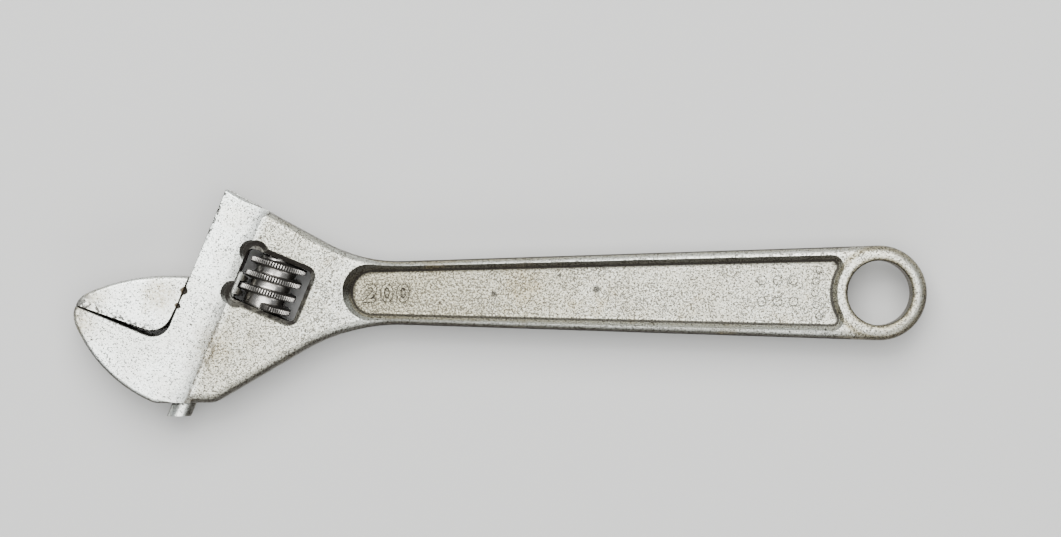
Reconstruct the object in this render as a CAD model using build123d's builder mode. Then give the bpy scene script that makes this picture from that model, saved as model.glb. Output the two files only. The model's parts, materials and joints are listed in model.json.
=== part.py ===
from build123d import *
import os
from math import acos, asin, atan2, cos, degrees, pi, radians, sin, sqrt, tan

# Adjustable wrench of nominal length 200 mm: a forged body with its fixed jaw, a movable jaw on a
# rack rail, and a worm in a window of the head that drives the rack.
#
# Frame, in millimetres: the origin is the centre of the hanging hole, halfway through the
# thickness. +X runs from the head to the hanging end, +Y to the side that the jaw opens
# towards, +Z out of the upper face.
#
# The head has its own two directions in the XY plane. "rise" is the way the jaw opens,
# measured from the face of the fixed jaw; "depth" goes from the slide face towards the
# handle. Both are zero at the throat, where those two faces would meet.

os.makedirs("parts", exist_ok=True)

# ---- driving dimensions ---------------------------------------------------------------
HEAD_ANGLE = 67.5          # rise direction, degrees from +X: the jaws sit 22.5 off square
THROAT_X = -172.3
THROAT_Y = -11.73

RING_RADIUS = 11.45        # outside of the hanging ring
HANG_RADIUS = 7.8          # hanging hole
HANG_ROUND = 0.85          # rounding of its edges
HANDLE_TAPER = 1.87        # each edge of the handle, degrees from its axis
HANDLE_HALF = 4.3          # half thickness of handle and ring
PLATE_HALF = 5.8           # half thickness of the head behind the slide rib
JAW_HALF = 7.0             # half thickness of both jaws and the slide rib

TIP_RISE = 39.7            # top corner of the slide face
UPPER_EDGE_ANGLE = -28.4   # upper edge of the head
UPPER_NECK_RADIUS = 36.0
FOOT_Y = -26.4             # straight lower end of the head
LOWER_EDGE_X = -159.9      # where that end turns into the lower edge
LOWER_EDGE_ANGLE = 30.5
LOWER_NECK_RADIUS = 45.0
FOOT_RADIUS = 5.0

NOSE_DEPTH = -16.65        # centre of the round nose that both jaws share
NOSE_RADIUS = 6.05
FIXED_BACK_RADIUS = 35.4   # back of the fixed jaw
FIXED_BACK_TURN = 225.9    # direction from its centre to the nose, in depth and rise
MOVABLE_BACK_RADIUS = 48.2
MOVABLE_BACK_TURN = 135.8
THROAT_RADIUS = 4.5
HEEL_RADIUS = 5.2
HEEL_RELIEF = 0.55         # the jaw stands this far off the slide face at its heel
HEEL_RELIEF_RISE = 10.0    # and meets it here
TOE_IN = 3.2               # the movable face leans, so that the tips meet first
TIP_GAP = 0.12

EDGE_ROUND = 2.3           # rounding of the handle and plate edges
FALL_START = 24.0          # the plate thins down to the handle between these depths
FALL_END = 50.0
PLATE_START = 6.0          # the plate runs this far under the slide rib
REACH = 250.0              # longer than the whole wrench, for cutting through
SQUARE = 1e-3              # tolerance on a right angle
BESIDE = 0.5               # an edge this near to a point passes beside it

JAW_ROUND = 0.9            # rounding of the backs of the jaws
EDGE_BREAK = 0.2           # bevel of their working edges
RIB_FLAT_DEPTH = 4.2       # the slide rib is flat to here, then falls away
CREASE_DEPTH = 10.6        # and meets the plate here
RIB_END_DEPTH = 11.6       # inside the plate

RAIL_DEPTH = 9.95          # axis of the jaw's rack rail
RAIL_RADIUS = 2.72
RAIL_CLEARANCE = 0.08
RAIL_TOP_RISE = 22.6
RAIL_END_Y = -29.7         # the lower end is ground parallel to the foot of the head
NECK_HALF = 1.7
NECK_CLEARANCE = 0.1
NECK_BOTTOM_RISE = 5.4
SLOT_END_GAP = 0.8
SLIDE_CLEARANCE = 0.1

WORM_DEPTH = 18.35         # axis of the worm and its pin
WORM_RADIUS = 6.9
WORM_ROOT_RADIUS = 4.85
WORM_PITCH = 3.5           # one start, right handed
WORM_CREST_WIDTH = 1.2
WORM_BASE_WIDTH = 2.0
WORM_BOTTOM_RISE = 16.15
WORM_LENGTH = 12.6
CREST_RISE = 20.4          # a crest stands here on the upper side at rest
WINDOW_BOTTOM_RISE = 15.95
WINDOW_TOP_RISE = 29.05
WINDOW_NEAR_DEPTH = 10.2
WINDOW_FAR_DEPTH = 26.9
WINDOW_CORNER = 1.6

PIN_RADIUS = 2.0
PIN_CLEARANCE = 0.06       # running fit in the worm
PIN_TOP_RISE = 32.0
SPRING_WIRE = 0.55
SPRING_RADIUS = 2.75
SPRING_TURNS = 4.5
COUNTERBORE_RADIUS = 3.3
COUNTERBORE_LENGTH = 5.6
THREAD_TURNS = 7.5         # cut to the worm's length afterwards
THREAD_BITE = 0.4          # how far the thread is sunk into the worm's root
PIN_END_GAP = 0.3
SPRING_GAP = 0.05          # at each end of the spring

GROOVE_COUNT = 9           # full rack grooves, plus the half one at the top of the rail
GROOVE_FLOOR_DEPTH = 11.1
TOOTH_TIP_WIDTH = 0.9
TOOTH_SLOPE = 0.3          # each flank widens by this much per mm of depth

WEB_HALF = 2.5             # half thickness of the sunk panel in the handle
PANEL_WALL = 1.7           # the panel's walls slope in by this much
PANEL_HALF_HEIGHT = 8.54   # half height of the panel, at PANEL_GAUGE_X
PANEL_GAUGE_X = -38.6
PANEL_TAPER = 1.35
PANEL_LEFT_X = -128.4
PANEL_CORNER = 1.2
PANEL_END_FLAT = 0.1       # what is left straight between the two corners of its round end
PANEL_ROUND = 1.0          # rounding where its walls meet the web
PANEL_RING_RADIUS = 10.3   # the panel's end is hollow, around the ring

EASE_FLOOR = 4.6           # the window's edges are eased above this height
EASE_ANGLE = 45.0
EASE_INSET = 1.8           # but not the edge beside the rail
CORNER_RELIEFS = ((12.4, 28.1), (12.1, 17.3))   # cone cuts at its two corners by the rail
CORNER_RELIEF_FLOOR = 4.5
CORNER_RELIEF_ANGLE = 46.0
CORNER_RELIEF_RADIUS = 1.9
NICKS = ((9.4, 0.7), (13.3, 1.0), (31.8, 0.7), (34.9, 0.7))   # dents on the slide face's edge: rise, radius

MARK_X = -122.6            # the size mark 200, in plain strokes
MARK_STEP = 3.9
MARK_HEIGHT = 4.2
ZERO_WIDTH = 0.66          # of its height
MARK_STROKE = 0.7
MARK_PROUD = 0.45
MARK_BITE = 0.1
PIP_GRID_X = -24.6
PIP_GRID_Y = 0.5
PIP_STEP_X = 3.8
PIP_STEP_Y = 5.1
PIP_COLUMNS = 3
PIP_ROWS = 2
PIP_RADIUS = 0.95
PIP_ARC_RADIUS = 15.6
PIP_ARC_COUNT = 5
PIP_ARC_START = 159.0
PIP_ARC_SPAN = 42.0
PIP_ARC_PIP = 0.7
PIP_PROUD = 0.4

# ---- frame of the head ----------------------------------------------------------------
RISE = Vector(cos(radians(HEAD_ANGLE)), sin(radians(HEAD_ANGLE)), 0)
DEPTH = Vector(sin(radians(HEAD_ANGLE)), -cos(radians(HEAD_ANGLE)), 0)
UP = Vector(0, 0, 1)
THROAT = Vector(THROAT_X, THROAT_Y, 0)
head = Plane(origin=THROAT, x_dir=DEPTH, z_dir=UP)       # x is depth, y is rise
section = Plane(origin=THROAT, x_dir=DEPTH, z_dir=-RISE)  # x is depth, y is +Z


def at(depth, rise):
    """A point of the head, in the part's frame."""
    return THROAT + DEPTH * depth + RISE * rise


def meet(point_a, angle_a, point_b, angle_b):
    """Where two lines cross, each given by a point and its angle from +X in degrees."""
    way_a = Vector(cos(radians(angle_a)), sin(radians(angle_a)), 0)
    way_b = Vector(cos(radians(angle_b)), sin(radians(angle_b)), 0)
    between = point_b - point_a
    along = between.cross(way_b).Z / way_a.cross(way_b).Z
    return point_a + way_a * along


def turned(angle, length):
    """A vector in a sketch, by its angle in degrees."""
    return Vector(cos(radians(angle)), sin(radians(angle)), 0) * length


# corners of the outline
shoulder_y = RING_RADIUS / cos(radians(HANDLE_TAPER))
upper_shoulder = Vector(0, shoulder_y, 0)
lower_shoulder = Vector(0, -shoulder_y, 0)
tip = at(0, TIP_RISE)
upper_neck = meet(upper_shoulder, HANDLE_TAPER, tip, UPPER_EDGE_ANGLE)
foot = Vector(LOWER_EDGE_X, FOOT_Y, 0)
lower_neck = meet(lower_shoulder, -HANDLE_TAPER, foot, LOWER_EDGE_ANGLE)

# backs of the jaws, in depth and rise: each is tangent to the shared nose circle
nose = Vector(NOSE_DEPTH, 0, 0)
fixed_back = nose - turned(FIXED_BACK_TURN, FIXED_BACK_RADIUS - NOSE_RADIUS)
movable_back = nose - turned(MOVABLE_BACK_TURN, MOVABLE_BACK_RADIUS - NOSE_RADIUS)
HEAD_TURN = 90 - HEAD_ANGLE                     # from angles in the part to angles in the head


def upper_edge_rise(depth):
    """Rise of the head's upper edge."""
    return TIP_RISE + depth * tan(radians(UPPER_EDGE_ANGLE + HEAD_TURN))


def foot_rise(depth):
    """Rise of the straight lower end of the head."""
    return (FOOT_Y - THROAT_Y - depth * DEPTH.Y) / RISE.Y


def wall_edges(part):
    """The edges round the top and bottom of a part's upright walls."""
    walls = part.faces().filter_by(lambda face: abs(face.normal_at().Z) < SQUARE)
    return walls.edges().filter_by(lambda edge: abs((edge % 0.5).Z) < 1 - SQUARE)


def beside(edge, points):
    """Whether an edge passes above or below one of these points of the outline."""
    level = UP * (edge @ 0).Z
    return any(edge.distance_to(Vertex(point + level)) < BESIDE for point in points)


def soften(jaw, working_points):
    """Round the edges of a jaw's back, then break those of its working faces."""
    back = [edge for edge in wall_edges(jaw.part) if not beside(edge, working_points)]
    fillet(back, radius=JAW_ROUND)
    rims = jaw.edges().filter_by(lambda edge: abs((edge @ 0).Z) > JAW_HALF - SQUARE)
    chamfer([edge for edge in rims if beside(edge, working_points)], length=EDGE_BREAK)


# ---- body: handle, ring and plate -----------------------------------------------------
with BuildPart() as plate:
    with BuildSketch() as plate_outline:
        upper_tangent = turned(90 + HANDLE_TAPER, RING_RADIUS)
        lower_tangent = turned(-90 - HANDLE_TAPER, RING_RADIUS)
        with BuildLine():
            Polyline(
                upper_tangent,
                upper_neck,
                at(PLATE_START, upper_edge_rise(PLATE_START)),
                at(PLATE_START, foot_rise(PLATE_START)),
                foot,
                lower_neck,
                lower_tangent,
            )
            ThreePointArc(lower_tangent, (RING_RADIUS, 0), upper_tangent)
        make_face()
        for corner, radius in (
            (upper_neck, UPPER_NECK_RADIUS),
            (lower_neck, LOWER_NECK_RADIUS),
            (foot, FOOT_RADIUS),
        ):
            fillet(plate_outline.vertices().sort_by_distance(corner)[0], radius=radius)
    extrude(amount=JAW_HALF, both=True)
    with BuildSketch(section):
        step = (PLATE_HALF - HANDLE_HALF) / 2
        middle = (FALL_START + FALL_END) / 2
        with BuildLine():
            level = Line((-REACH, PLATE_HALF), (FALL_START, PLATE_HALF))
            bend = TangentArc(level @ 1, (middle, PLATE_HALF - step), tangent=(1, 0))
            settle = TangentArc(bend @ 1, (FALL_END, HANDLE_HALF), tangent=bend % 1)
            Polyline(settle @ 1, (REACH, HANDLE_HALF), (REACH, 0), (-REACH, 0), level @ 0)
        make_face()
        mirror(about=Plane.XZ)
    extrude(amount=REACH, both=True, mode=Mode.INTERSECT)
    fillet(wall_edges(plate.part), radius=EDGE_ROUND)

# ---- body: fixed jaw and slide rib ----------------------------------------------------
back_centre = at(fixed_back.X, fixed_back.Y)
back_end_turn = 180 + degrees(asin((back_centre.Y - FOOT_Y) / FIXED_BACK_RADIUS)) + HEAD_TURN
back_end = fixed_back + turned(back_end_turn, FIXED_BACK_RADIUS)
rib_fall = CREASE_DEPTH - RIB_FLAT_DEPTH
rib_drop = JAW_HALF - PLATE_HALF
rib_radius = (rib_fall**2 + rib_drop**2) / (2 * rib_drop)

with BuildPart() as fixed_jaw:
    with BuildSketch(head) as jaw_outline:
        with BuildLine():
            slide = Line((0, TIP_RISE), (0, THROAT_RADIUS))
            CenterArc((-THROAT_RADIUS, THROAT_RADIUS), THROAT_RADIUS, 0, -90)
            Line((-THROAT_RADIUS, 0), (NOSE_DEPTH - NOSE_RADIUS, 0))
            CenterArc(nose, NOSE_RADIUS, 180, FIXED_BACK_TURN - 180)
            CenterArc(
                fixed_back, FIXED_BACK_RADIUS, FIXED_BACK_TURN, back_end_turn - FIXED_BACK_TURN
            )
            Polyline(
                back_end,
                (RIB_END_DEPTH, foot_rise(RIB_END_DEPTH)),
                (RIB_END_DEPTH, upper_edge_rise(RIB_END_DEPTH)),
                slide @ 0,
            )
        make_face()
        fillet(jaw_outline.vertices().sort_by_distance(back_end)[0], radius=FOOT_RADIUS)
    extrude(amount=JAW_HALF, both=True)
    corner = THROAT_RADIUS * (1 - sqrt(0.5))
    soften(
        fixed_jaw,
        (at(0, TIP_RISE / 2), at(-corner, corner), at(NOSE_DEPTH, 0)),
    )
    with BuildSketch(section):
        with BuildLine():
            level = Line((-REACH, JAW_HALF), (RIB_FLAT_DEPTH, JAW_HALF))
            fall = CenterArc((RIB_FLAT_DEPTH, JAW_HALF - rib_radius), rib_radius, 90, -30)
            Polyline(fall @ 1, ((fall @ 1).X, 0), (-REACH, 0), level @ 0)
        make_face()
        mirror(about=Plane.XZ)
    extrude(amount=REACH, both=True, mode=Mode.INTERSECT)


# ---- body: whole forging --------------------------------------------------------------
def along_rise(depth, rise):
    """A plane square to the rise direction, for shafts and their holes."""
    return Plane(origin=at(depth, rise), x_dir=DEPTH, z_dir=RISE)


def panel_half(x):
    """Half height of the handle's sunk panel at its rim."""
    return PANEL_HALF_HEIGHT + (x - PANEL_GAUGE_X) * tan(radians(PANEL_TAPER))


window_middle = (
    (WINDOW_NEAR_DEPTH + WINDOW_FAR_DEPTH) / 2,
    (WINDOW_BOTTOM_RISE + WINDOW_TOP_RISE) / 2,
)
with BuildPart() as body:
    add(plate.part)
    add(fixed_jaw.part)
    with BuildSketch(along_rise(RAIL_DEPTH, 0)):        # channel for the rack rail
        Circle(RAIL_RADIUS + RAIL_CLEARANCE)
    extrude(amount=REACH, both=True, mode=Mode.SUBTRACT)
    with BuildSketch(head):                             # slot for the neck of the jaw
        with Locations((0, NECK_BOTTOM_RISE - SLOT_END_GAP)):
            Rectangle(RAIL_DEPTH, REACH, align=(Align.MIN, Align.MIN))
    extrude(amount=NECK_HALF + NECK_CLEARANCE, both=True, mode=Mode.SUBTRACT)
    with BuildSketch(head):                             # worm window
        with Locations(window_middle):
            RectangleRounded(
                WINDOW_FAR_DEPTH - WINDOW_NEAR_DEPTH,
                WINDOW_TOP_RISE - WINDOW_BOTTOM_RISE,
                WINDOW_CORNER,
            )
    extrude(amount=REACH, both=True, mode=Mode.SUBTRACT)
    for side in (1, -1):                                # eased edges of the window, both faces
        with BuildSketch(Plane(origin=THROAT + UP * side * EASE_FLOOR, x_dir=DEPTH, z_dir=UP * side)):
            with Locations((window_middle[0] + EASE_INSET / 2, side * window_middle[1])):
                RectangleRounded(
                    WINDOW_FAR_DEPTH - WINDOW_NEAR_DEPTH - EASE_INSET,
                    WINDOW_TOP_RISE - WINDOW_BOTTOM_RISE,
                    WINDOW_CORNER,
                )
        extrude(amount=JAW_HALF, taper=-EASE_ANGLE, mode=Mode.SUBTRACT)
        corner_floor = THROAT + UP * side * CORNER_RELIEF_FLOOR
        with BuildSketch(Plane(origin=corner_floor, x_dir=DEPTH, z_dir=UP * side)):
            with Locations(*[(depth, side * rise) for depth, rise in CORNER_RELIEFS]):
                Circle(CORNER_RELIEF_RADIUS)
        extrude(amount=JAW_HALF, taper=-CORNER_RELIEF_ANGLE, mode=Mode.SUBTRACT)
    for rise, radius in NICKS:                          # dents on the edge of the slide face
        with Locations(at(0, rise) + UP * JAW_HALF):
            Sphere(radius, mode=Mode.SUBTRACT)
    with BuildSketch(along_rise(WORM_DEPTH, PIN_TOP_RISE)):   # blind hole for the pin
        Circle(PIN_RADIUS)
    extrude(amount=-REACH, mode=Mode.SUBTRACT)
    with BuildSketch():                                 # hanging hole
        Circle(HANG_RADIUS)
    extrude(amount=REACH, both=True, mode=Mode.SUBTRACT)
    for side in (1, -1):                                # sunk panel, both faces
        web = Plane(origin=(0, 0, side * WEB_HALF), x_dir=(1, 0, 0), z_dir=(0, 0, side))
        left = PANEL_LEFT_X + PANEL_WALL
        left_half = panel_half(left) - PANEL_WALL
        right_half = panel_half(0) - PANEL_WALL
        with BuildSketch(web) as panel:
            with BuildLine():
                Polyline(
                    (left, left_half), (0, right_half), (0, -right_half), (left, -left_half), close=True
                )
            make_face()
            Circle(PANEL_RING_RADIUS + PANEL_WALL, mode=Mode.SUBTRACT)
            ends = panel.vertices().group_by(Axis.X)
            fillet(ends[0], radius=left_half - PANEL_END_FLAT)
            fillet(panel.vertices().group_by(Axis.X)[-1], radius=PANEL_CORNER)
        slope = degrees(atan2(PANEL_WALL, HANDLE_HALF - WEB_HALF))
        extrude(amount=JAW_HALF - WEB_HALF, taper=-slope, mode=Mode.SUBTRACT)
    web_edges = [
        edge
        for edge in body.edges()
        if abs(abs((edge @ 0).Z) - WEB_HALF) < SQUARE and abs(abs((edge @ 0.5).Z) - WEB_HALF) < SQUARE
    ]
    fillet(web_edges, radius=PANEL_ROUND)
    with BuildSketch(Plane.XY.offset(WEB_HALF - MARK_BITE)):   # size mark: 200
        with Locations((MARK_X + MARK_STEP, 0), (MARK_X + 2 * MARK_STEP, 0)):
            Ellipse(MARK_HEIGHT * ZERO_WIDTH / 2, MARK_HEIGHT / 2)
            Ellipse(
                MARK_HEIGHT * ZERO_WIDTH / 2 - MARK_STROKE,
                MARK_HEIGHT / 2 - MARK_STROKE,
                mode=Mode.SUBTRACT,
            )
        bowl = (MARK_HEIGHT * ZERO_WIDTH - MARK_STROKE) / 2
        top = (MARK_HEIGHT - MARK_STROKE) / 2
        with BuildLine():
            hook = CenterArc((MARK_X, top - bowl), bowl, 165, -205)
            Line(hook @ 1, (MARK_X - bowl, -top))
            Line((MARK_X - bowl, -top), (MARK_X + bowl, -top))
        trace(line_width=MARK_STROKE)
    extrude(amount=MARK_BITE + MARK_PROUD)
    with BuildSketch(Plane.XY.offset(WEB_HALF - MARK_BITE)):   # plain raised pips
        with Locations((PIP_GRID_X, PIP_GRID_Y)):
            with GridLocations(PIP_STEP_X, PIP_STEP_Y, PIP_COLUMNS, PIP_ROWS):
                Circle(PIP_RADIUS)
        with PolarLocations(PIP_ARC_RADIUS, PIP_ARC_COUNT, PIP_ARC_START, PIP_ARC_SPAN, endpoint=True):
            Circle(PIP_ARC_PIP)
    extrude(amount=MARK_BITE + PIP_PROUD)
    hole_edges = body.edges().filter_by(GeomType.CIRCLE)
    hole_edges = [edge for edge in hole_edges if abs(edge.radius - HANG_RADIUS) < SQUARE]
    fillet(hole_edges, radius=HANG_ROUND)

body.part.label = "body"
export_step(body.part, "parts/body.step")

# ---- movable jaw, with its neck, rail and rack ----------------------------------------
root_turn = degrees(acos((-SLIDE_CLEARANCE - movable_back.X) / MOVABLE_BACK_RADIUS))
nose_turn = 180 - degrees(asin(TIP_GAP / NOSE_RADIUS))
face_tip = nose + turned(nose_turn, NOSE_RADIUS)
heel_depth = -SLIDE_CLEARANCE - HEEL_RELIEF
heel = Vector(heel_depth, TIP_GAP + (heel_depth - face_tip.X) * tan(radians(TOE_IN)))
root_top = movable_back + turned(root_turn, MOVABLE_BACK_RADIUS)
lead_slope = WORM_PITCH / (2 * pi * WORM_RADIUS)
rack_rise = CREST_RISE - WORM_PITCH / 4 + WORM_PITCH    # the worm's crests beside the rail
mouth_depth = RAIL_DEPTH + RAIL_RADIUS
mouth_half = (WORM_PITCH - TOOTH_TIP_WIDTH) / 2
floor_half = mouth_half - TOOTH_SLOPE * (mouth_depth - GROOVE_FLOOR_DEPTH)

with BuildPart() as movable_jaw:
    with BuildSketch(head) as jaw_outline:
        with BuildLine():
            Polyline(face_tip, heel, (-SLIDE_CLEARANCE, HEEL_RELIEF_RISE), root_top)
            CenterArc(
                movable_back, MOVABLE_BACK_RADIUS, root_turn, MOVABLE_BACK_TURN - root_turn
            )
            CenterArc(nose, NOSE_RADIUS, MOVABLE_BACK_TURN, nose_turn - MOVABLE_BACK_TURN)
        make_face()
        fillet(jaw_outline.vertices().sort_by_distance(heel)[0], radius=HEEL_RADIUS)
    extrude(amount=JAW_HALF, both=True)
    middle_of_face = at(NOSE_DEPTH, (-SLIDE_CLEARANCE + NOSE_RADIUS) * tan(radians(TOE_IN)))
    heel_inset = HEEL_RADIUS * (1 - sqrt(0.5))
    heel_middle = at(heel_depth - heel_inset, heel.Y + heel_inset)
    heel_above = at(-SLIDE_CLEARANCE, HEEL_RELIEF_RISE - JAW_ROUND)
    soften(
        movable_jaw,
        (middle_of_face, heel_middle, heel_above, at(-SLIDE_CLEARANCE, root_top.Y - HEEL_RADIUS)),
    )
    with BuildSketch(head):                             # neck
        with Locations((-HEEL_RADIUS / 4, NECK_BOTTOM_RISE)):
            Rectangle(
                RAIL_DEPTH + HEEL_RADIUS / 4,
                root_top.Y - NECK_BOTTOM_RISE - JAW_ROUND,
                align=(Align.MIN, Align.MIN),
            )
    extrude(amount=NECK_HALF, both=True)
    with BuildSketch(along_rise(RAIL_DEPTH, RAIL_TOP_RISE)):
        Circle(RAIL_RADIUS)
    extrude(amount=-RAIL_TOP_RISE * 2)
    split(bisect_by=Plane(origin=(0, RAIL_END_Y, 0), x_dir=(1, 0, 0), z_dir=(0, 1, 0)), keep=Keep.TOP)
    groove_rises = [rack_rise - groove * WORM_PITCH for groove in range(GROOVE_COUNT + 1)]
    with BuildSketch(head):                             # rack grooves
        with Locations([(0, rise) for rise in groove_rises]):
            Polygon(
                (GROOVE_FLOOR_DEPTH, floor_half),
                (mouth_depth, mouth_half),
                (mouth_depth, -mouth_half),
                (GROOVE_FLOOR_DEPTH, -floor_half),
                align=None,
            )
    extrude(amount=RAIL_RADIUS * 2, dir=UP + RISE * lead_slope, both=True, mode=Mode.SUBTRACT)

movable_jaw.part.label = "movable_jaw"
export_step(movable_jaw.part, "parts/movable_jaw.step")

# ---- worm, pin and spring -------------------------------------------------------------
worm_base = along_rise(WORM_DEPTH, WORM_BOTTOM_RISE)
# the thread starts well below the worm, where a crest that rises to CREST_RISE on top begins
start_way = Helix(WORM_PITCH, WORM_PITCH, WORM_ROOT_RADIUS, direction=RISE) @ 0
start_turn = start_way.get_signed_angle(UP, RISE) % 360
thread_base = CREST_RISE - WORM_PITCH * (start_turn / 360 + 2)
with BuildPart() as worm:
    with BuildLine():
        thread_path = Helix(
            WORM_PITCH,
            WORM_PITCH * THREAD_TURNS,
            WORM_ROOT_RADIUS,
            center=at(WORM_DEPTH, thread_base),
            direction=RISE,
        )
    with BuildSketch(Plane(origin=thread_path @ 0, x_dir=start_way, z_dir=thread_path % 0)):
        with BuildLine():
            Polyline(
                (-THREAD_BITE, WORM_BASE_WIDTH / 2),
                (WORM_RADIUS - WORM_ROOT_RADIUS, WORM_CREST_WIDTH / 2),
                (WORM_RADIUS - WORM_ROOT_RADIUS, -WORM_CREST_WIDTH / 2),
                (-THREAD_BITE, -WORM_BASE_WIDTH / 2),
                close=True,
            )
        make_face()
    sweep(path=thread_path, is_frenet=True)
    with BuildSketch(worm_base):
        Circle(WORM_RADIUS * 2)
    extrude(amount=WORM_LENGTH, mode=Mode.INTERSECT)
    with BuildSketch(worm_base):
        Circle(WORM_ROOT_RADIUS)
    extrude(amount=WORM_LENGTH)
    with BuildSketch(worm_base):
        Circle(PIN_RADIUS + PIN_CLEARANCE)
    extrude(amount=WORM_LENGTH, mode=Mode.SUBTRACT)
    with BuildSketch(worm_base.offset(WORM_LENGTH)):
        Circle(COUNTERBORE_RADIUS)
    extrude(amount=-COUNTERBORE_LENGTH, mode=Mode.SUBTRACT)

worm.part.label = "worm"
export_step(worm.part, "parts/worm.step")

with BuildPart() as worm_pin:
    with BuildSketch(along_rise(WORM_DEPTH, PIN_TOP_RISE - PIN_END_GAP)):
        Circle(PIN_RADIUS)
    extrude(amount=-PIN_TOP_RISE * 2)
    with BuildSketch():                                 # ground flush with the forging
        with BuildLine():
            Polyline(
                at(0, PIN_TOP_RISE * 2),
                (foot.X - REACH, foot.Y),
                foot,
                foot + turned(LOWER_EDGE_ANGLE, REACH),
                close=True,
            )
        make_face()
        fillet(vertices().sort_by_distance(foot)[0], radius=FOOT_RADIUS)
    extrude(amount=JAW_HALF, both=True, mode=Mode.INTERSECT)

worm_pin.part.label = "worm_pin"
export_step(worm_pin.part, "parts/worm_pin.step")

spring_length = WINDOW_TOP_RISE - WORM_BOTTOM_RISE - WORM_LENGTH + COUNTERBORE_LENGTH - 2 * SPRING_GAP
with BuildPart() as worm_spring:
    spring_base = WINDOW_TOP_RISE - SPRING_GAP - spring_length + SPRING_WIRE / 2
    coil_height = spring_length - SPRING_WIRE
    with BuildLine():
        coil_path = Helix(
            coil_height / SPRING_TURNS,
            coil_height,
            SPRING_RADIUS,
            center=at(WORM_DEPTH, spring_base),
            direction=RISE,
        )
    with BuildSketch(Plane(origin=coil_path @ 0, z_dir=coil_path % 0)):
        Circle(SPRING_WIRE / 2)
    sweep(path=coil_path, is_frenet=True)

worm_spring.part.label = "worm_spring"
export_step(worm_spring.part, "parts/worm_spring.step")
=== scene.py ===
import bmesh
import bpy
import json
from math import ceil, cos, pi, sin
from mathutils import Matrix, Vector


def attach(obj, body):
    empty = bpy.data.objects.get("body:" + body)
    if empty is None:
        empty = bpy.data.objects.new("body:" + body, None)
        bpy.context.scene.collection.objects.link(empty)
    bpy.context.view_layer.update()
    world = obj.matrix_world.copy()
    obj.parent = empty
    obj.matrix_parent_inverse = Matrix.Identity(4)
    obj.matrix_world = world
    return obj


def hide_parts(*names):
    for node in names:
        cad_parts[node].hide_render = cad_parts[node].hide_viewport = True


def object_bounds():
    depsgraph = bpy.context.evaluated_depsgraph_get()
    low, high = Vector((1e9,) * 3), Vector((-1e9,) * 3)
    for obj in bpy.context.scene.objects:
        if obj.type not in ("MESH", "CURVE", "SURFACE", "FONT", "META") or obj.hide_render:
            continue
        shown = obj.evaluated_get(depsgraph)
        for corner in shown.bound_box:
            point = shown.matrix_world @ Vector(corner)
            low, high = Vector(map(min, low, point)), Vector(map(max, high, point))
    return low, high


# An adjustable wrench of worn, plated steel, lying on its side. Metres, in the row frame.

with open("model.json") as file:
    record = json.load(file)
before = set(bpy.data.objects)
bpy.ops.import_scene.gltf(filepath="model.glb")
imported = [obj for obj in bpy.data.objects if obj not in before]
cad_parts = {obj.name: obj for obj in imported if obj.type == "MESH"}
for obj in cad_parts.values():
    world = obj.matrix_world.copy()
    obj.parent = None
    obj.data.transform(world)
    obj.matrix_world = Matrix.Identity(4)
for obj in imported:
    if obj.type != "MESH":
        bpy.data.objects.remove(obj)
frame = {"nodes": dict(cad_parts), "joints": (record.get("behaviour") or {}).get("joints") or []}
cad_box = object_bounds()

MM = 0.001

# ---- the head's own directions, from the joints ---------------------------------------
joints = {joint["name"]: joint for joint in frame["joints"]}
RISE = Vector(joints["jaw_slide"]["axis"]).normalized()       # the way the jaw opens
DEPTH = RISE.cross(Vector((0, 0, 1)))                         # from the jaws towards the handle
UP = Vector((0, 0, 1))
WORM_DEPTH = 18.35 * MM        # the worm's axis, behind the slide face
WORM_POINT_RISE = 22.5 * MM    # rise of the worm joint's point
worm_point = Vector(joints["worm_spin"]["pos_m"])
THROAT = worm_point - DEPTH * WORM_DEPTH - RISE * WORM_POINT_RISE


def at(depth, rise, z=0.0):
    """A point of the head, from its depth and rise in millimetres."""
    return THROAT + DEPTH * depth * MM + RISE * rise * MM + UP * z * MM


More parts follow.
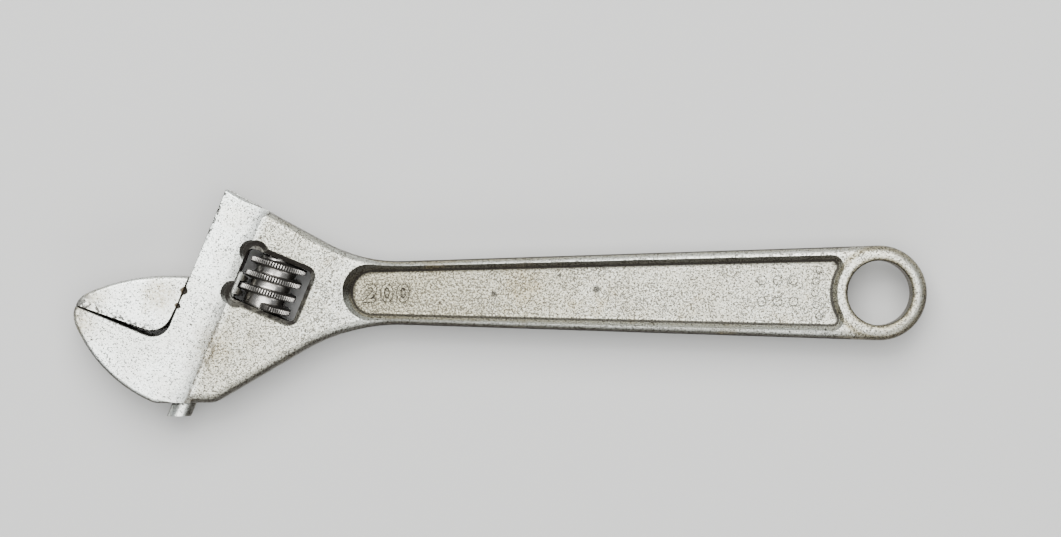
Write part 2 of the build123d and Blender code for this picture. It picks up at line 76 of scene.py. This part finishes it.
# ---- materials ------------------------------------------------------------------------
class Graph:
    """The nodes of one material, with short calls for the steps that repeat."""

    def __init__(self, name):
        self.material = bpy.data.materials.new(name)
        self.material.use_nodes = True
        self.tree = self.material.node_tree
        self.shader = self.tree.nodes["Principled BSDF"]
        coordinates = self.tree.nodes.new("ShaderNodeTexCoord")
        self.place = self.vector("SCALE", coordinates.outputs["Object"], scale=1 / MM)
        self.normal = coordinates.outputs["Normal"]

    def put(self, socket, value):
        if isinstance(value, bpy.types.NodeSocket):
            self.tree.links.new(value, socket)
        else:
            socket.default_value = value

    def vector(self, operation, a, b=None, scale=None):
        step = self.tree.nodes.new("ShaderNodeVectorMath")
        step.operation = operation
        self.put(step.inputs[0], a)
        if b is not None:
            self.put(step.inputs[1], b)
        if scale is not None:
            self.put(step.inputs["Scale"], scale)
        return step.outputs["Value" if operation in ("DOT_PRODUCT", "LENGTH", "DISTANCE") else "Vector"]

    def math(self, operation, a, b=0.0):
        step = self.tree.nodes.new("ShaderNodeMath")
        step.operation = operation
        self.put(step.inputs[0], a)
        self.put(step.inputs[1], b)
        return step.outputs[0]

    def fade(self, value, low, high, start=0.0, end=1.0):
        """start below low, end above high, and smooth between them."""
        step = self.tree.nodes.new("ShaderNodeMapRange")
        step.interpolation_type = "SMOOTHSTEP"
        self.put(step.inputs["Value"], value)
        for name, number in (("From Min", low), ("From Max", high), ("To Min", start), ("To Max", end)):
            self.put(step.inputs[name], number)
        return step.outputs["Result"]

    def drop(self, value, low, high, start=1.0):
        """start below low and 0 above high."""
        return self.fade(value, low, high, start, 0.0)

    def coordinate(self, axis):
        """The place's X, Y or Z, in millimetres."""
        parts = self.tree.nodes.new("ShaderNodeSeparateXYZ")
        self.put(parts.inputs[0], self.place)
        return parts.outputs[axis]

    def height(self):
        """Distance from the wrench's middle plane, in millimetres."""
        return self.math("ABSOLUTE", self.coordinate("Z"))

    def facing(self):
        """1 on faces that look straight up or down, and 0 on upright ones."""
        return self.math("ABSOLUTE", self.vector("DOT_PRODUCT", self.normal, (0, 0, 1)))

    def noise(self, scale, detail=2.0, roughness=0.5, shift=0.0, stretch=None):
        """Noise between 0 and 1. Its scale is in features per millimetre."""
        place = self.place
        if stretch is not None:
            place = self.vector("MULTIPLY", place, stretch)
        step = self.tree.nodes.new("ShaderNodeTexNoise")
        self.put(step.inputs["Vector"], self.vector("ADD", place, (shift, shift, shift)))
        self.put(step.inputs["Scale"], scale)
        self.put(step.inputs["Detail"], detail)
        self.put(step.inputs["Roughness"], roughness)
        return step.outputs["Fac"]

    def cells(self, scale, shift=0.0):
        """Distance from the nearest of scattered points, and that point's random number."""
        step = self.tree.nodes.new("ShaderNodeTexVoronoi")
        self.put(step.inputs["Vector"], self.vector("ADD", self.place, (shift, shift, shift)))
        self.put(step.inputs["Scale"], scale)
        red = self.tree.nodes.new("ShaderNodeSeparateColor")
        self.put(red.inputs[0], step.outputs["Color"])
        return step.outputs["Distance"], red.outputs[0]

    def mix(self, share, a, b):
        step = self.tree.nodes.new("ShaderNodeMix")
        step.data_type = "RGBA"
        self.put(step.inputs["Factor"], share)
        self.put(step.inputs["A"], a if isinstance(a, bpy.types.NodeSocket) else (*a, 1))
        self.put(step.inputs["B"], b if isinstance(b, bpy.types.NodeSocket) else (*b, 1))
        return step.outputs["Result"]

    def along(self, direction, origin=None):
        """Distance along a direction from a point, in millimetres."""
        origin = THROAT if origin is None else origin
        offset = self.vector("SUBTRACT", self.place, tuple(origin / MM))
        return self.vector("DOT_PRODUCT", offset, tuple(direction))

    def spot(self, centre, radius, soft, ragged):
        """1 near a point and 0 from radius + soft, with a ragged edge. Sizes in millimetres."""
        away = self.vector("DISTANCE", self.place, tuple(centre / MM))
        uneven = self.math("MULTIPLY", self.math("SUBTRACT", self.noise(0.5, 4.0, 0.6), 0.5), ragged)
        return self.drop(self.math("ADD", away, uneven), radius, radius + soft)

    def both(self, *masks):
        result = masks[0]
        for mask in masks[1:]:
            result = self.math("MULTIPLY", result, mask)
        return result

    def either(self, *masks):
        result = masks[0]
        for mask in masks[1:]:
            result = self.math("MAXIMUM", result, mask)
        return result

    def corners(self, reach):
        """Painted shade in narrow corners, from ambient occlusion, up to that many millimetres from them."""
        step = self.tree.nodes.new("ShaderNodeAmbientOcclusion")
        step.samples = 8
        step.inputs["Distance"].default_value = reach * MM
        uneven = self.math("MULTIPLY", self.noise(0.7, 3.0, shift=61.0), 0.3)
        open_share = self.math("ADD", step.outputs["AO"], uneven)
        return self.drop(open_share, 0.78, 1.06, 0.85)

    def bump(self, height, depth, strength=1.0, under=None):
        """Relief of that depth in millimetres where height runs from 0 to 1."""
        step = self.tree.nodes.new("ShaderNodeBump")
        step.inputs["Strength"].default_value = strength
        step.inputs["Distance"].default_value = depth * MM
        self.put(step.inputs["Height"], height)
        if under is not None:
            self.put(step.inputs["Normal"], under)
        return step.outputs["Normal"]

    def finish(self, colour, roughness, normal, metallic=1.0):
        self.put(self.shader.inputs["Base Color"], colour)
        self.put(self.shader.inputs["Roughness"], roughness)
        self.put(self.shader.inputs["Normal"], normal)
        self.put(self.shader.inputs["Metallic"], metallic)
        self.shader.inputs["Specular IOR Level"].default_value = SPECULAR
        return self.material


SPECULAR = 0.5
SATIN_STEEL = (0.83, 0.875, 0.84)
DULL_STEEL = (0.66, 0.675, 0.625)
WARM_STEEL = (0.34, 0.31, 0.205)
SAND_GREY = (0.20, 0.19, 0.16)
# near-black: forging skin on steep faces, and painted shade on the edges that face −Y
SKIN_AND_SHADE = (0.075, 0.07, 0.06)
SIDE_STEEL = (0.36, 0.345, 0.30)
CORNER_SHADE_REACH = 0.9        # mm, reach of the painted corner shade
SHADED_SIDE = (0.30, -0.95, 0.0)  # edges that face this way (−Y) get painted shade
HEAD_TO_HANDLE = (-138.0, -120.0)   # the painted shade band on those edges is broader left of this, mm
PIT_BROWN = (0.030, 0.024, 0.018)
RUST_BROWN = (0.045, 0.030, 0.012)
STAIN = (0.27, 0.225, 0.13)
# dark colour for grime, also used for painted shade in corners, inside the worm's window and on the thread's
# flanks
GRIME_AND_SHADE = (0.016, 0.013, 0.010)


def plated_steel(name, speckle, stains, grime_and_shade, sunk=None):
    """Worn satin plating on forged steel: clouded, finely pitted, with dark skin on its steep sides, painted
    shade on the edges that face −Y, and painted shade in narrow corners.

    speckle: how densely pitted the flat faces are, from 0 to 1. stains and grime: functions of
    the graph that give masks; grime's first mask is partly painted shade. sunk: one for the part of the
    surface that stays unpolished.
    """
    g = Graph(name)
    cloud = g.noise(0.06, 4.0, 0.6)
    drift = g.noise(0.16, 4.0, 0.6, shift=31.0)
    facing = g.facing()
    # painted shade: edges leaning towards −Y are darkened, more broadly on the head; steep faces all round
    # get dark skin
    lean = g.fade(g.vector("DOT_PRODUCT", g.normal, SHADED_SIDE), -0.05, 0.30)
    full = g.fade(g.coordinate("X"), *HEAD_TO_HANDLE, 0.72, 0.66)
    none = g.fade(g.coordinate("X"), *HEAD_TO_HANDLE, 0.993, 0.96)
    side = g.either(g.drop(facing, 0.10, 0.58), g.both(g.drop(facing, full, none), lean))
    rough_skin = sunk(g) if sunk else g.math("MULTIPLY", side, 0.3)
    dense = g.math("ADD", speckle, g.math("MULTIPLY", rough_skin, 0.55))
    dense = g.math("ADD", dense, g.math("MULTIPLY", side, 0.35))
    dense = g.math("ADD", dense, g.math("MULTIPLY", g.math("SUBTRACT", drift, 0.5), 0.9))
    # fine separate specks, soft-edged clumps, and a few deep pits
    near, chance = g.cells(2.4, shift=3.0)
    present = g.fade(g.math("ADD", chance, g.math("MULTIPLY", dense, 0.85)), 0.88, 1.02)
    specks = g.math("MULTIPLY", g.drop(near, 0.22, 0.46), present)
    grain = g.noise(2.2, 3.0, 0.6, shift=7.0)
    clumps = g.fade(g.math("ADD", grain, g.math("MULTIPLY", dense, 0.16)), 0.60, 0.72)
    distance, lot = g.cells(0.42, shift=13.0)
    size = g.math("MULTIPLY", g.fade(lot, 0.55, 1.0), 0.20)
    ragged = g.math("ADD", distance, g.math("MULTIPLY", g.noise(3.0, 3.0, shift=12.0), 0.20))
    holes = g.drop(g.math("SUBTRACT", ragged, size), 0.0, 0.07)
    pits = g.either(specks, clumps)
    colour = g.mix(g.fade(cloud, 0.36, 0.66), SATIN_STEEL, DULL_STEEL)
    soft_grain = g.fade(g.noise(1.9, 3.0, 0.65, shift=51.0), 0.40, 0.60)
    grey = tuple(0.55 * c for c in DULL_STEEL)
    uneven = g.math("ADD", speckle + 0.08, g.math("MULTIPLY", rough_skin, 0.60))
    colour = g.mix(g.math("MULTIPLY", soft_grain, uneven), colour, grey)
    sand = g.fade(g.noise(2.5, 2.0, 0.6, shift=71.0), 0.46, 0.62)
    colour = g.mix(g.math("MULTIPLY", sand, uneven), colour, SAND_GREY)
    colour = g.mix(g.math("MULTIPLY", rough_skin, 0.8), colour, WARM_STEEL)
    # dark skin on steep faces, and painted shade on the edges that face −Y
    colour = g.mix(g.math("MULTIPLY", side, 0.92), colour, SKIN_AND_SHADE)
    colour = g.mix(g.math("MULTIPLY", g.drop(facing, 0.02, 0.42), 0.85), colour, SIDE_STEEL)
    colour = g.mix(g.math("MULTIPLY", stains(g), 0.85), colour, STAIN)
    colour = g.mix(g.math("MULTIPLY", pits, 0.80), colour, PIT_BROWN)
    colour = g.mix(g.math("MULTIPLY", holes, 0.92), colour, PIT_BROWN)
    dirt_and_shade, rust = grime_and_shade(g)
    # painted shade in narrow corners, from ambient occlusion, joins the grime
    dirt_and_shade = g.either(dirt_and_shade, g.corners(CORNER_SHADE_REACH))
    colour = g.mix(rust, colour, RUST_BROWN)
    colour = g.mix(dirt_and_shade, colour, GRIME_AND_SHADE)
    fine = g.noise(6.5, 2.0, 0.6, shift=19.0)
    roughness = g.math("ADD", 0.30, g.math("MULTIPLY", fine, 0.10))
    roughness = g.math("ADD", roughness, g.math("MULTIPLY", g.either(pits, rough_skin), 0.14))
    roughness = g.math("ADD", roughness, g.math("MULTIPLY", g.either(dirt_and_shade, rust), 0.25))
    sunken = g.math("SUBTRACT", 1.0, g.either(pits, holes))
    normal = g.bump(sunken, 0.05, 0.8)
    normal = g.bump(g.noise(1.1, 5.0, 0.65, shift=2.0), 0.06, 0.5, normal)
    normal = g.bump(g.noise(0.20, 2.0, 0.5, shift=5.0), 0.35, 0.5, normal)
    metallic = g.math("SUBTRACT", 1.0, g.math("MULTIPLY", g.either(dirt_and_shade, rust), 0.4))
    return g.finish(colour, roughness, normal, metallic)


PANEL_FLOOR = 3.4              # the sunk panel lies below this height, mm
PANEL_ENDS = (-129.0, -9.5)    # and between these places along the handle, mm
RING_CREST = 9.5               # highest circle of the hanging ring, from its centre, mm
CREASE_DEPTH = 10.6            # where the slide rib meets the plate, mm
NICKS = ((9.4, 0.7), (13.3, 1.3))   # rusty dents at the slide face's edge: rise, half length, mm
HEAD_TOP = 5.8                 # height of the head's plate, mm
CLEANER_TO_RING = (-125.0, -40.0)   # the panel gets less rough along this part of the handle, mm
PLATE_TO_NECK = (-140.0, -120.0)    # and the head's plate along this, mm
PANEL_TO_RING = (-14.0, -7.0)       # the ring's stain sets in between these, mm
RING_RIM = (10.9, 12.4)        # the ring's rough part, darker off its crest, ends between these radii, mm
WINDOW_FRONT, WINDOW_BACK = (7.4, 8.0), (28.6, 29.4)   # limits of the window's grime and painted shade: depth, mm
WINDOW_LOW, WINDOW_HIGH = (13.6, 14.2), (30.8, 31.4)   # and rise, mm
WALL_FOOT_LOW, WALL_FOOT_HIGH = (2.50, 2.60), (3.05, 3.35)   # heights of the line at the panel's wall, mm
PANEL_STAIN = (-86.0, 1.5, 2.5)   # middle of a stain on the panel, mm
PANEL_SPOTS = ((-68.2, 0.9, 0.75), (-77.0, 4.3, 0.4), (-92.9, -0.3, 0.7))   # dark spots: X, Y, radius


def panel_mask(g):
    """The rough floor and walls of the handle's sunk panel, the head's plate in part, and the hanging ring
    off its crest, where the rougher, warmer tone is also painted shade on the ring's rounded edges.
    """
    x = g.coordinate("X")
    low = g.drop(g.height(), PANEL_FLOOR, PANEL_FLOOR + 0.8)
    inside = g.both(
        g.fade(x, PANEL_ENDS[0] - 1, PANEL_ENDS[0]),
        g.drop(x, PANEL_ENDS[1], PANEL_ENDS[1] + 1),
        g.fade(x, *CLEANER_TO_RING, 1.0, 0.60),
    )
    plate = g.fade(g.along(DEPTH), CREASE_DEPTH - 1.0, CREASE_DEPTH + 2.0)
    plate = g.both(plate, g.fade(x, *PLATE_TO_NECK, 0.58, 0.30))
    # rough, warmer tone away from the ring's crest: rough skin, and painted shade on its rounded edges
    from_hole = g.vector("LENGTH", g.vector("MULTIPLY", g.place, (1, 1, 0)))
    off_crest = g.math("ABSOLUTE", g.math("SUBTRACT", from_hole, RING_CREST))
    ring = g.both(g.drop(from_hole, *RING_RIM), g.fade(off_crest, 0.2, 1.5, 0.25, 0.95))
    return g.either(g.both(low, inside), plate, ring)


def mottle(g, shift):
    """A patchy share that breaks a stain up, from 0.35 to 1."""
    return g.fade(g.noise(1.6, 4.0, 0.65, shift=shift), 0.36, 0.60, 0.35, 1.0)


def body_stains(g):
    cloud = g.noise(0.11, 3.0, 0.6, shift=44.0)
    warm = g.fade(cloud, 0.56, 0.74, 0.0, 0.55)
    near_crease = g.both(g.spot(at(CREASE_DEPTH + 1, 3, HEAD_TOP), 1.0, 8.0, 8.0), mottle(g, 35.0), 0.7)
    nose = g.both(g.spot(at(-21.0, -3.0, 7.0), 1.5, 5.0, 5.0), mottle(g, 36.0), 0.75)
    tip = g.both(g.spot(at(4.5, 34.5, 7.0), 0.5, 6.0, 5.0), mottle(g, 37.0), 0.45)
    panel = g.both(g.spot(Vector(PANEL_STAIN) * MM, 1.0, 6.5, 7.0), mottle(g, 38.0), 0.8)
    ring = g.both(g.fade(g.coordinate("X"), *PANEL_TO_RING), mottle(g, 39.0), 0.42)
    return g.either(warm, near_crease, nose, tip, panel, ring)


def rusty_nicks(g):
    """Rust in the dents where the movable jaw meets the slide face, longer along the face."""
    depth = g.math("ABSOLUTE", g.along(DEPTH))
    ragged = g.math("MULTIPLY", g.math("SUBTRACT", g.noise(1.4, 3.0, shift=29.0), 0.5), 0.9)
    masks = []
    for nick, half_length in NICKS:
        away = g.math("ABSOLUTE", g.math("SUBTRACT", g.along(RISE), nick))
        away = g.math("DIVIDE", away, half_length / 0.8)
        reach = g.math("ADD", g.math("ADD", away, depth), ragged)
        masks.append(g.fade(reach, 0.75, 1.15, 0.96, 0.0))
    return g.either(*masks)


def body_grime_and_shade(g):
    """Grime and painted shade inside the worm's window, darker with depth; a dark line at the foot of the
    panel's walls; grime at the slide face's upper edge, on the nose and in spots on the panel; rust along
    the crease and in the nicks.
    """
    depth = g.along(DEPTH)
    rise = g.along(RISE)
    x = g.coordinate("X")
    height = g.height()
    in_window = g.both(
        g.fade(depth, *WINDOW_FRONT), g.drop(depth, *WINDOW_BACK),
        g.fade(rise, *WINDOW_LOW), g.drop(rise, *WINDOW_HIGH),
    )
    below = g.drop(height, HEAD_TOP - 0.35, HEAD_TOP - 0.03)
    deep = g.drop(height, HEAD_TOP - 2.4, HEAD_TOP - 1.4)
    blotch = g.fade(g.noise(0.6, 3.0, shift=8.0), 0.32, 0.66, 1.0, 0.75)
    # inside the worm's window, darker with depth: grime and painted shade of the recess
    window = g.both(in_window, g.either(g.both(below, blotch), deep))
    line = g.drop(g.math("ABSOLUTE", g.math("SUBTRACT", depth, CREASE_DEPTH)), 0.12, 0.5)
    reach = g.both(g.fade(rise, -16.0, -12.0), g.drop(rise, 8.0, 13.0))
    broken = g.fade(g.noise(0.8, 3.0, shift=15.0), 0.38, 0.58)
    crease = g.both(line, reach, broken, 0.75)
    nicks = rusty_nicks(g)
    off_trail = g.math("ABSOLUTE", g.math("SUBTRACT", depth, CREASE_DEPTH + 0.8))
    trail = g.both(
        g.drop(off_trail, 0.3, 1.6, 0.6), reach, g.fade(g.noise(0.5, 4.0, shift=23.0), 0.45, 0.62),
    )
    edge = g.both(
        g.drop(depth, 0.25, 0.9), g.fade(rise, 24.0, 30.0),
        g.fade(g.noise(1.1, 3.0, shift=27.0), 0.50, 0.60),
    )
    nose = g.both(
        g.drop(depth, -21.8, -18.0), g.fade(rise, -7.0, -2.0),
        g.fade(g.noise(0.8, 4.0, 0.6, shift=14.0), 0.44, 0.60), 0.75,
    )
    spots = g.either(*[g.spot(Vector((x, y, PANEL_STAIN[2])) * MM, radius * 0.6, radius * 0.9, 0.8)
                       for x, y, radius in PANEL_SPOTS])
    in_panel = g.both(
        g.fade(x, PANEL_ENDS[0] - 1, PANEL_ENDS[0]),
        g.drop(x, PANEL_ENDS[1] + 2, PANEL_ENDS[1] + 3),
    )
    upright = g.drop(g.facing(), 0.84, 0.96)
    foot = g.both(g.fade(height, *WALL_FOOT_LOW), g.drop(height, *WALL_FOOT_HIGH))
    wall_foot = g.both(foot, in_panel, upright, 0.85)
    dirt_and_shade = g.either(window, edge, nose, wall_foot, g.math("MULTIPLY", spots, 0.75))
    return dirt_and_shade, g.either(crease, nicks, trail)


def jaw_stains(g):
    middle = g.both(g.spot(at(-5.6, 10.0, 7.0), 1.0, 6.0, 7.0), mottle(g, 41.0), 0.85)
    left = g.both(g.spot(at(-19.5, 3.5, 7.0), 0.5, 6.0, 5.0), mottle(g, 42.0), 0.6)
    return g.either(middle, left)


def jaw_grime(g):
    depth = g.along(DEPTH)
    rise = g.along(RISE)
    tip = g.both(g.drop(depth, -22.6, -18.0), g.fade(g.noise(0.9, 3.0, shift=14.0), 0.38, 0.58), 0.85)
    lip = g.both(
        g.drop(rise, 1.4, 3.2), g.drop(depth, -3.0, 0.0),
        g.fade(g.noise(1.2, 4.0, shift=17.0), 0.50, 0.56), 0.85,
    )
    return g.either(tip, lip), rusty_nicks(g)


def turned_steel(name, colour, dark, roughness):
    """Machined steel with fine turning marks and greasy blotches. The flanks of the worm's thread and its
    knurl notches are darkened too: partly grease, partly painted shade.
    """
    g = Graph(name)
    axial = g.along(RISE)
    rings = g.noise(1.0, 2.0, 0.6, stretch=(0.3, 0.3, 0.3))
    marks = g.tree.nodes.new("ShaderNodeTexNoise")
    marks.noise_dimensions = "1D"
    g.put(marks.inputs["W"], axial)
    g.put(marks.inputs["Scale"], 7.0)
    g.put(marks.inputs["Detail"], 3.0)
    across = g.vector("SUBTRACT", g.place, tuple(worm_point / MM))
    radius = g.vector("LENGTH", g.vector("CROSS_PRODUCT", across, tuple(RISE)))
    # painted shade with grease: the thread's flanks and knurl notches go dark, while root and crest stay
    # bright
    flank = g.both(g.fade(radius, 4.95, 5.4), g.drop(radius, 6.70, 6.86))
    blotch = g.fade(g.noise(0.7, 4.0, 0.6, shift=9.0), 0.42, 0.68)
    dirt_and_shade = g.math("MULTIPLY", g.either(flank, g.math("MULTIPLY", blotch, 0.7)), dark)
    tone = g.mix(rings, colour, tuple(0.82 * c for c in colour))
    tone = g.mix(dirt_and_shade, tone, GRIME_AND_SHADE)
    rough = g.math("ADD", roughness, g.math("MULTIPLY", dirt_and_shade, 0.25))
    normal = g.bump(marks.outputs["Fac"], 0.02, 0.5)
    normal = g.bump(g.noise(1.6, 3.0, 0.6, shift=4.0), 0.03, 0.6, normal)
    return g.finish(tone, rough, normal)


forged_steel = plated_steel("forged_steel", 0.20, body_stains, body_grime_and_shade, panel_mask)
jaw_steel = plated_steel("jaw_steel", 0.18, jaw_stains, jaw_grime)
worm_steel = turned_steel("worm_steel", (0.50, 0.48, 0.45), 0.85, 0.26)
pin_steel = turned_steel("pin_steel", (0.45, 0.44, 0.41), 0.35, 0.36)
spring_steel = turned_steel("spring_steel", (0.34, 0.32, 0.30), 0.5, 0.35)


def repaint(node_name, material):
    mesh = frame["nodes"][node_name].data
    mesh.materials.clear()
    mesh.materials.append(material)


repaint("body", forged_steel)
repaint("movable_jaw", jaw_steel)
repaint("worm_pin", pin_steel)
repaint("worm_spring", spring_steel)

# ---- worm with a knurled thread -------------------------------------------------------
PITCH = 3.5
CREST_RADIUS = 6.9
ROOT_RADIUS = 4.85
BORE_RADIUS = 2.06
COUNTERBORE_RADIUS = 3.3
COUNTERBORE_LENGTH = 5.6
WORM_LOW = 16.15               # rise of its lower end
WORM_LENGTH = 12.6
CREST_RISE = 20.4              # a crest stands here on the upper side at rest
SERRATIONS = 64
SERRATION_STEPS = 6            # mesh columns for each serration
SERRATION_DEPTH = 0.38
SERRATION_LAND = 0.40          # share of each serration that stays flat
END_BREAK = 0.25               # bevel at the worm's ends
THREAD_START = -1.01           # turns from the crest at CREST_RISE to where the thread begins
THREAD_RUN_OUT = 0.07          # turns over which it grows to its full height
KNURL_FROM = 0.55              # share of the thread's height above which it is knurled
ROOT_BREAK, CREST_BREAK = 0.6, 0.9   # how steep the bevel is at the root and on the thread
SHARP = 0.6                    # radians between faces that meet in a sharp edge
# half a pitch of the thread: distance from the middle of the crest, and share of its height
FLANK = ((0.0, 1.0), (0.30, 1.0), (0.48, 0.985), (0.58, 0.93), (0.66, 0.82), (0.76, 0.58),
         (0.86, 0.30), (0.95, 0.10), (1.06, 0.02), (1.25, 0.0), (1.5, 0.0), (1.75, 0.0))


def serration(turn):
    """Depth of the knurl's notch at this share of a turn, from 0 to 1."""
    phase = (turn * SERRATIONS) % 1.0
    return max(0.0, abs(2 * phase - 1) - SERRATION_LAND) / (1 - SERRATION_LAND)


def thread_share(rise, turn):
    """Share of the thread's height at this rise and share of a turn. It runs out below."""
    along = (rise - CREST_RISE) / PITCH - turn
    crest = round(along)
    away = abs(along - crest) * PITCH
    whole = min(max((crest + turn - THREAD_START) / THREAD_RUN_OUT, 0.0), 1.0)
    for (near, tall), (far, short) in zip(FLANK, FLANK[1:]):
        if near <= away <= far:
            return whole * (tall + (short - tall) * (away - near) / (far - near))
    return 0.0


def build_worm():
    columns = SERRATIONS * SERRATION_STEPS
    profile = [-away for away, share in reversed(FLANK[1:])] + [away for away, share in FLANK]
    profile = profile[:-1]                     # the last repeats the next pitch's first
    turns_below = ceil((CREST_RISE - WORM_LOW) / PITCH) + 2
    turns_above = ceil((WORM_LOW + WORM_LENGTH - CREST_RISE) / PITCH) + 2
    mesh = bmesh.new()
    high = WORM_LOW + WORM_LENGTH

    def point(angle, radius, rise):
        around = UP * cos(angle) + RISE.cross(UP) * sin(angle)
        return at(WORM_DEPTH / MM, rise) + around * radius * MM

    rows = []
    for column in range(columns + 1):
        turn = column / columns
        angle = 2 * pi * turn
        line = []
        for pitch_number in range(-turns_below, turns_above):
            for away in profile:
                rise = CREST_RISE + PITCH * (pitch_number + turn) + away
                held = min(max(rise, WORM_LOW), high)
                share = thread_share(held, turn)
                notch = SERRATION_DEPTH * serration(turn) * max(0.0, (share - KNURL_FROM) / (1 - KNURL_FROM))
                radius = ROOT_RADIUS + (CREST_RADIUS - ROOT_RADIUS) * share - notch
                end = min(held - WORM_LOW, high - held)
                radius -= max(0.0, END_BREAK - end) * (ROOT_BREAK if share < 0.1 else CREST_BREAK)
                line.append(mesh.verts.new(point(angle, radius, held)))
        rows.append(line)
    for line, following in zip(rows, rows[1:]):
        for a, b, c, d in zip(line, line[1:], following[1:], following):
            mesh.faces.new((a, d, c, b))
    inner = (
        (COUNTERBORE_RADIUS + END_BREAK, high), (COUNTERBORE_RADIUS, high - END_BREAK),
        (COUNTERBORE_RADIUS, high - COUNTERBORE_LENGTH), (BORE_RADIUS, high - COUNTERBORE_LENGTH),
        (BORE_RADIUS, WORM_LOW + END_BREAK), (BORE_RADIUS + END_BREAK, WORM_LOW),
    )
    previous = None
    for column in range(columns + 1):
        angle = 2 * pi * column / columns
        line = [rows[column][-1]]
        line += [mesh.verts.new(point(angle, radius, rise)) for radius, rise in inner]
        line.append(rows[column][0])
        if previous:
            for a, b, c, d in zip(previous, previous[1:], line[1:], line):
                mesh.faces.new((a, d, c, b))
        previous = line
    bmesh.ops.remove_doubles(mesh, verts=mesh.verts, dist=0.002 * MM)
    bmesh.ops.recalc_face_normals(mesh, faces=mesh.faces)
    data = bpy.data.meshes.new("worm_knurled")
    mesh.to_mesh(data)
    mesh.free()
    data.shade_smooth()
    data.set_sharp_from_angle(angle=SHARP)
    piece = bpy.data.objects.new("worm_knurled", data)
    bpy.context.scene.collection.objects.link(piece)
    data.materials.append(worm_steel)
    return piece


worm = build_worm()
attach(worm, "worm")
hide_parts("worm")

# ---- floor, light and camera ----------------------------------------------------------
FLOOR_SIZE = 6.0
FLOOR_GREY = (0.46, 0.46, 0.45, 1)
FLOOR_ROUGHNESS = 0.9
floor_mesh = bpy.data.meshes.new("floor")
half = FLOOR_SIZE / 2
floor_z = cad_box[0][2]
floor_mesh.from_pydata(
    [(-half, -half, floor_z), (half, -half, floor_z), (half, half, floor_z), (-half, half, floor_z)],
    [], [(0, 1, 2, 3)],
)
floor_object = bpy.data.objects.new("floor", floor_mesh)
bpy.context.scene.collection.objects.link(floor_object)
floor_look = bpy.data.materials.new("floor")
floor_look.use_nodes = True
floor_shader = floor_look.node_tree.nodes["Principled BSDF"]
floor_shader.inputs["Base Color"].default_value = FLOOR_GREY
floor_shader.inputs["Roughness"].default_value = FLOOR_ROUGHNESS
floor_mesh.materials.append(floor_look)

centre = Vector((-84.1 * MM, 5.9 * MM, 0.0))        # middle of the view
VIEW_WIDTH = 254.6 * MM
CAMERA_HEIGHT = 0.85           # metres
SENSOR = 36.0                  # the camera's own unit, mm


def area_light(name, place, size, power):
    """A soft light that looks at the wrench. Its place is counted from the middle of the view."""
    light = bpy.data.lights.new(name, "AREA")
    light.shape = "RECTANGLE"
    light.size, light.size_y = size
    light.energy = power
    holder = bpy.data.objects.new(name, light)
    bpy.context.scene.collection.objects.link(holder)
    holder.location = centre + Vector(place)
    holder.rotation_euler = (centre - holder.location).to_track_quat("-Z", "Y").to_euler()


# place and size in metres, power in watts
area_light("key", (-0.15, 0.80, 1.05), (1.2, 0.8), 30.0)
area_light("overhead", (0.0, 0.10, 1.5), (1.6, 1.2), 36.0)
area_light("fill", (0.10, -1.00, 0.75), (1.6, 0.5), 9.0)

WORLD_TINT = (0.9, 0.95, 1.0, 1)
WORLD_STRENGTH = 0.32
world = bpy.data.worlds.new("studio")
bpy.context.scene.world = world
world.use_nodes = True
background = world.node_tree.nodes["Background"]
background.inputs["Color"].default_value = WORLD_TINT
background.inputs["Strength"].default_value = WORLD_STRENGTH

camera = bpy.data.cameras.new("camera")
camera.sensor_width = SENSOR
camera.lens = SENSOR * (CAMERA_HEIGHT - HEAD_TOP * MM) / VIEW_WIDTH
camera_object = bpy.data.objects.new("camera", camera)
bpy.context.scene.collection.objects.link(camera_object)
camera_object.location = centre + Vector((0, 0, CAMERA_HEIGHT))
bpy.context.scene.camera = camera_object
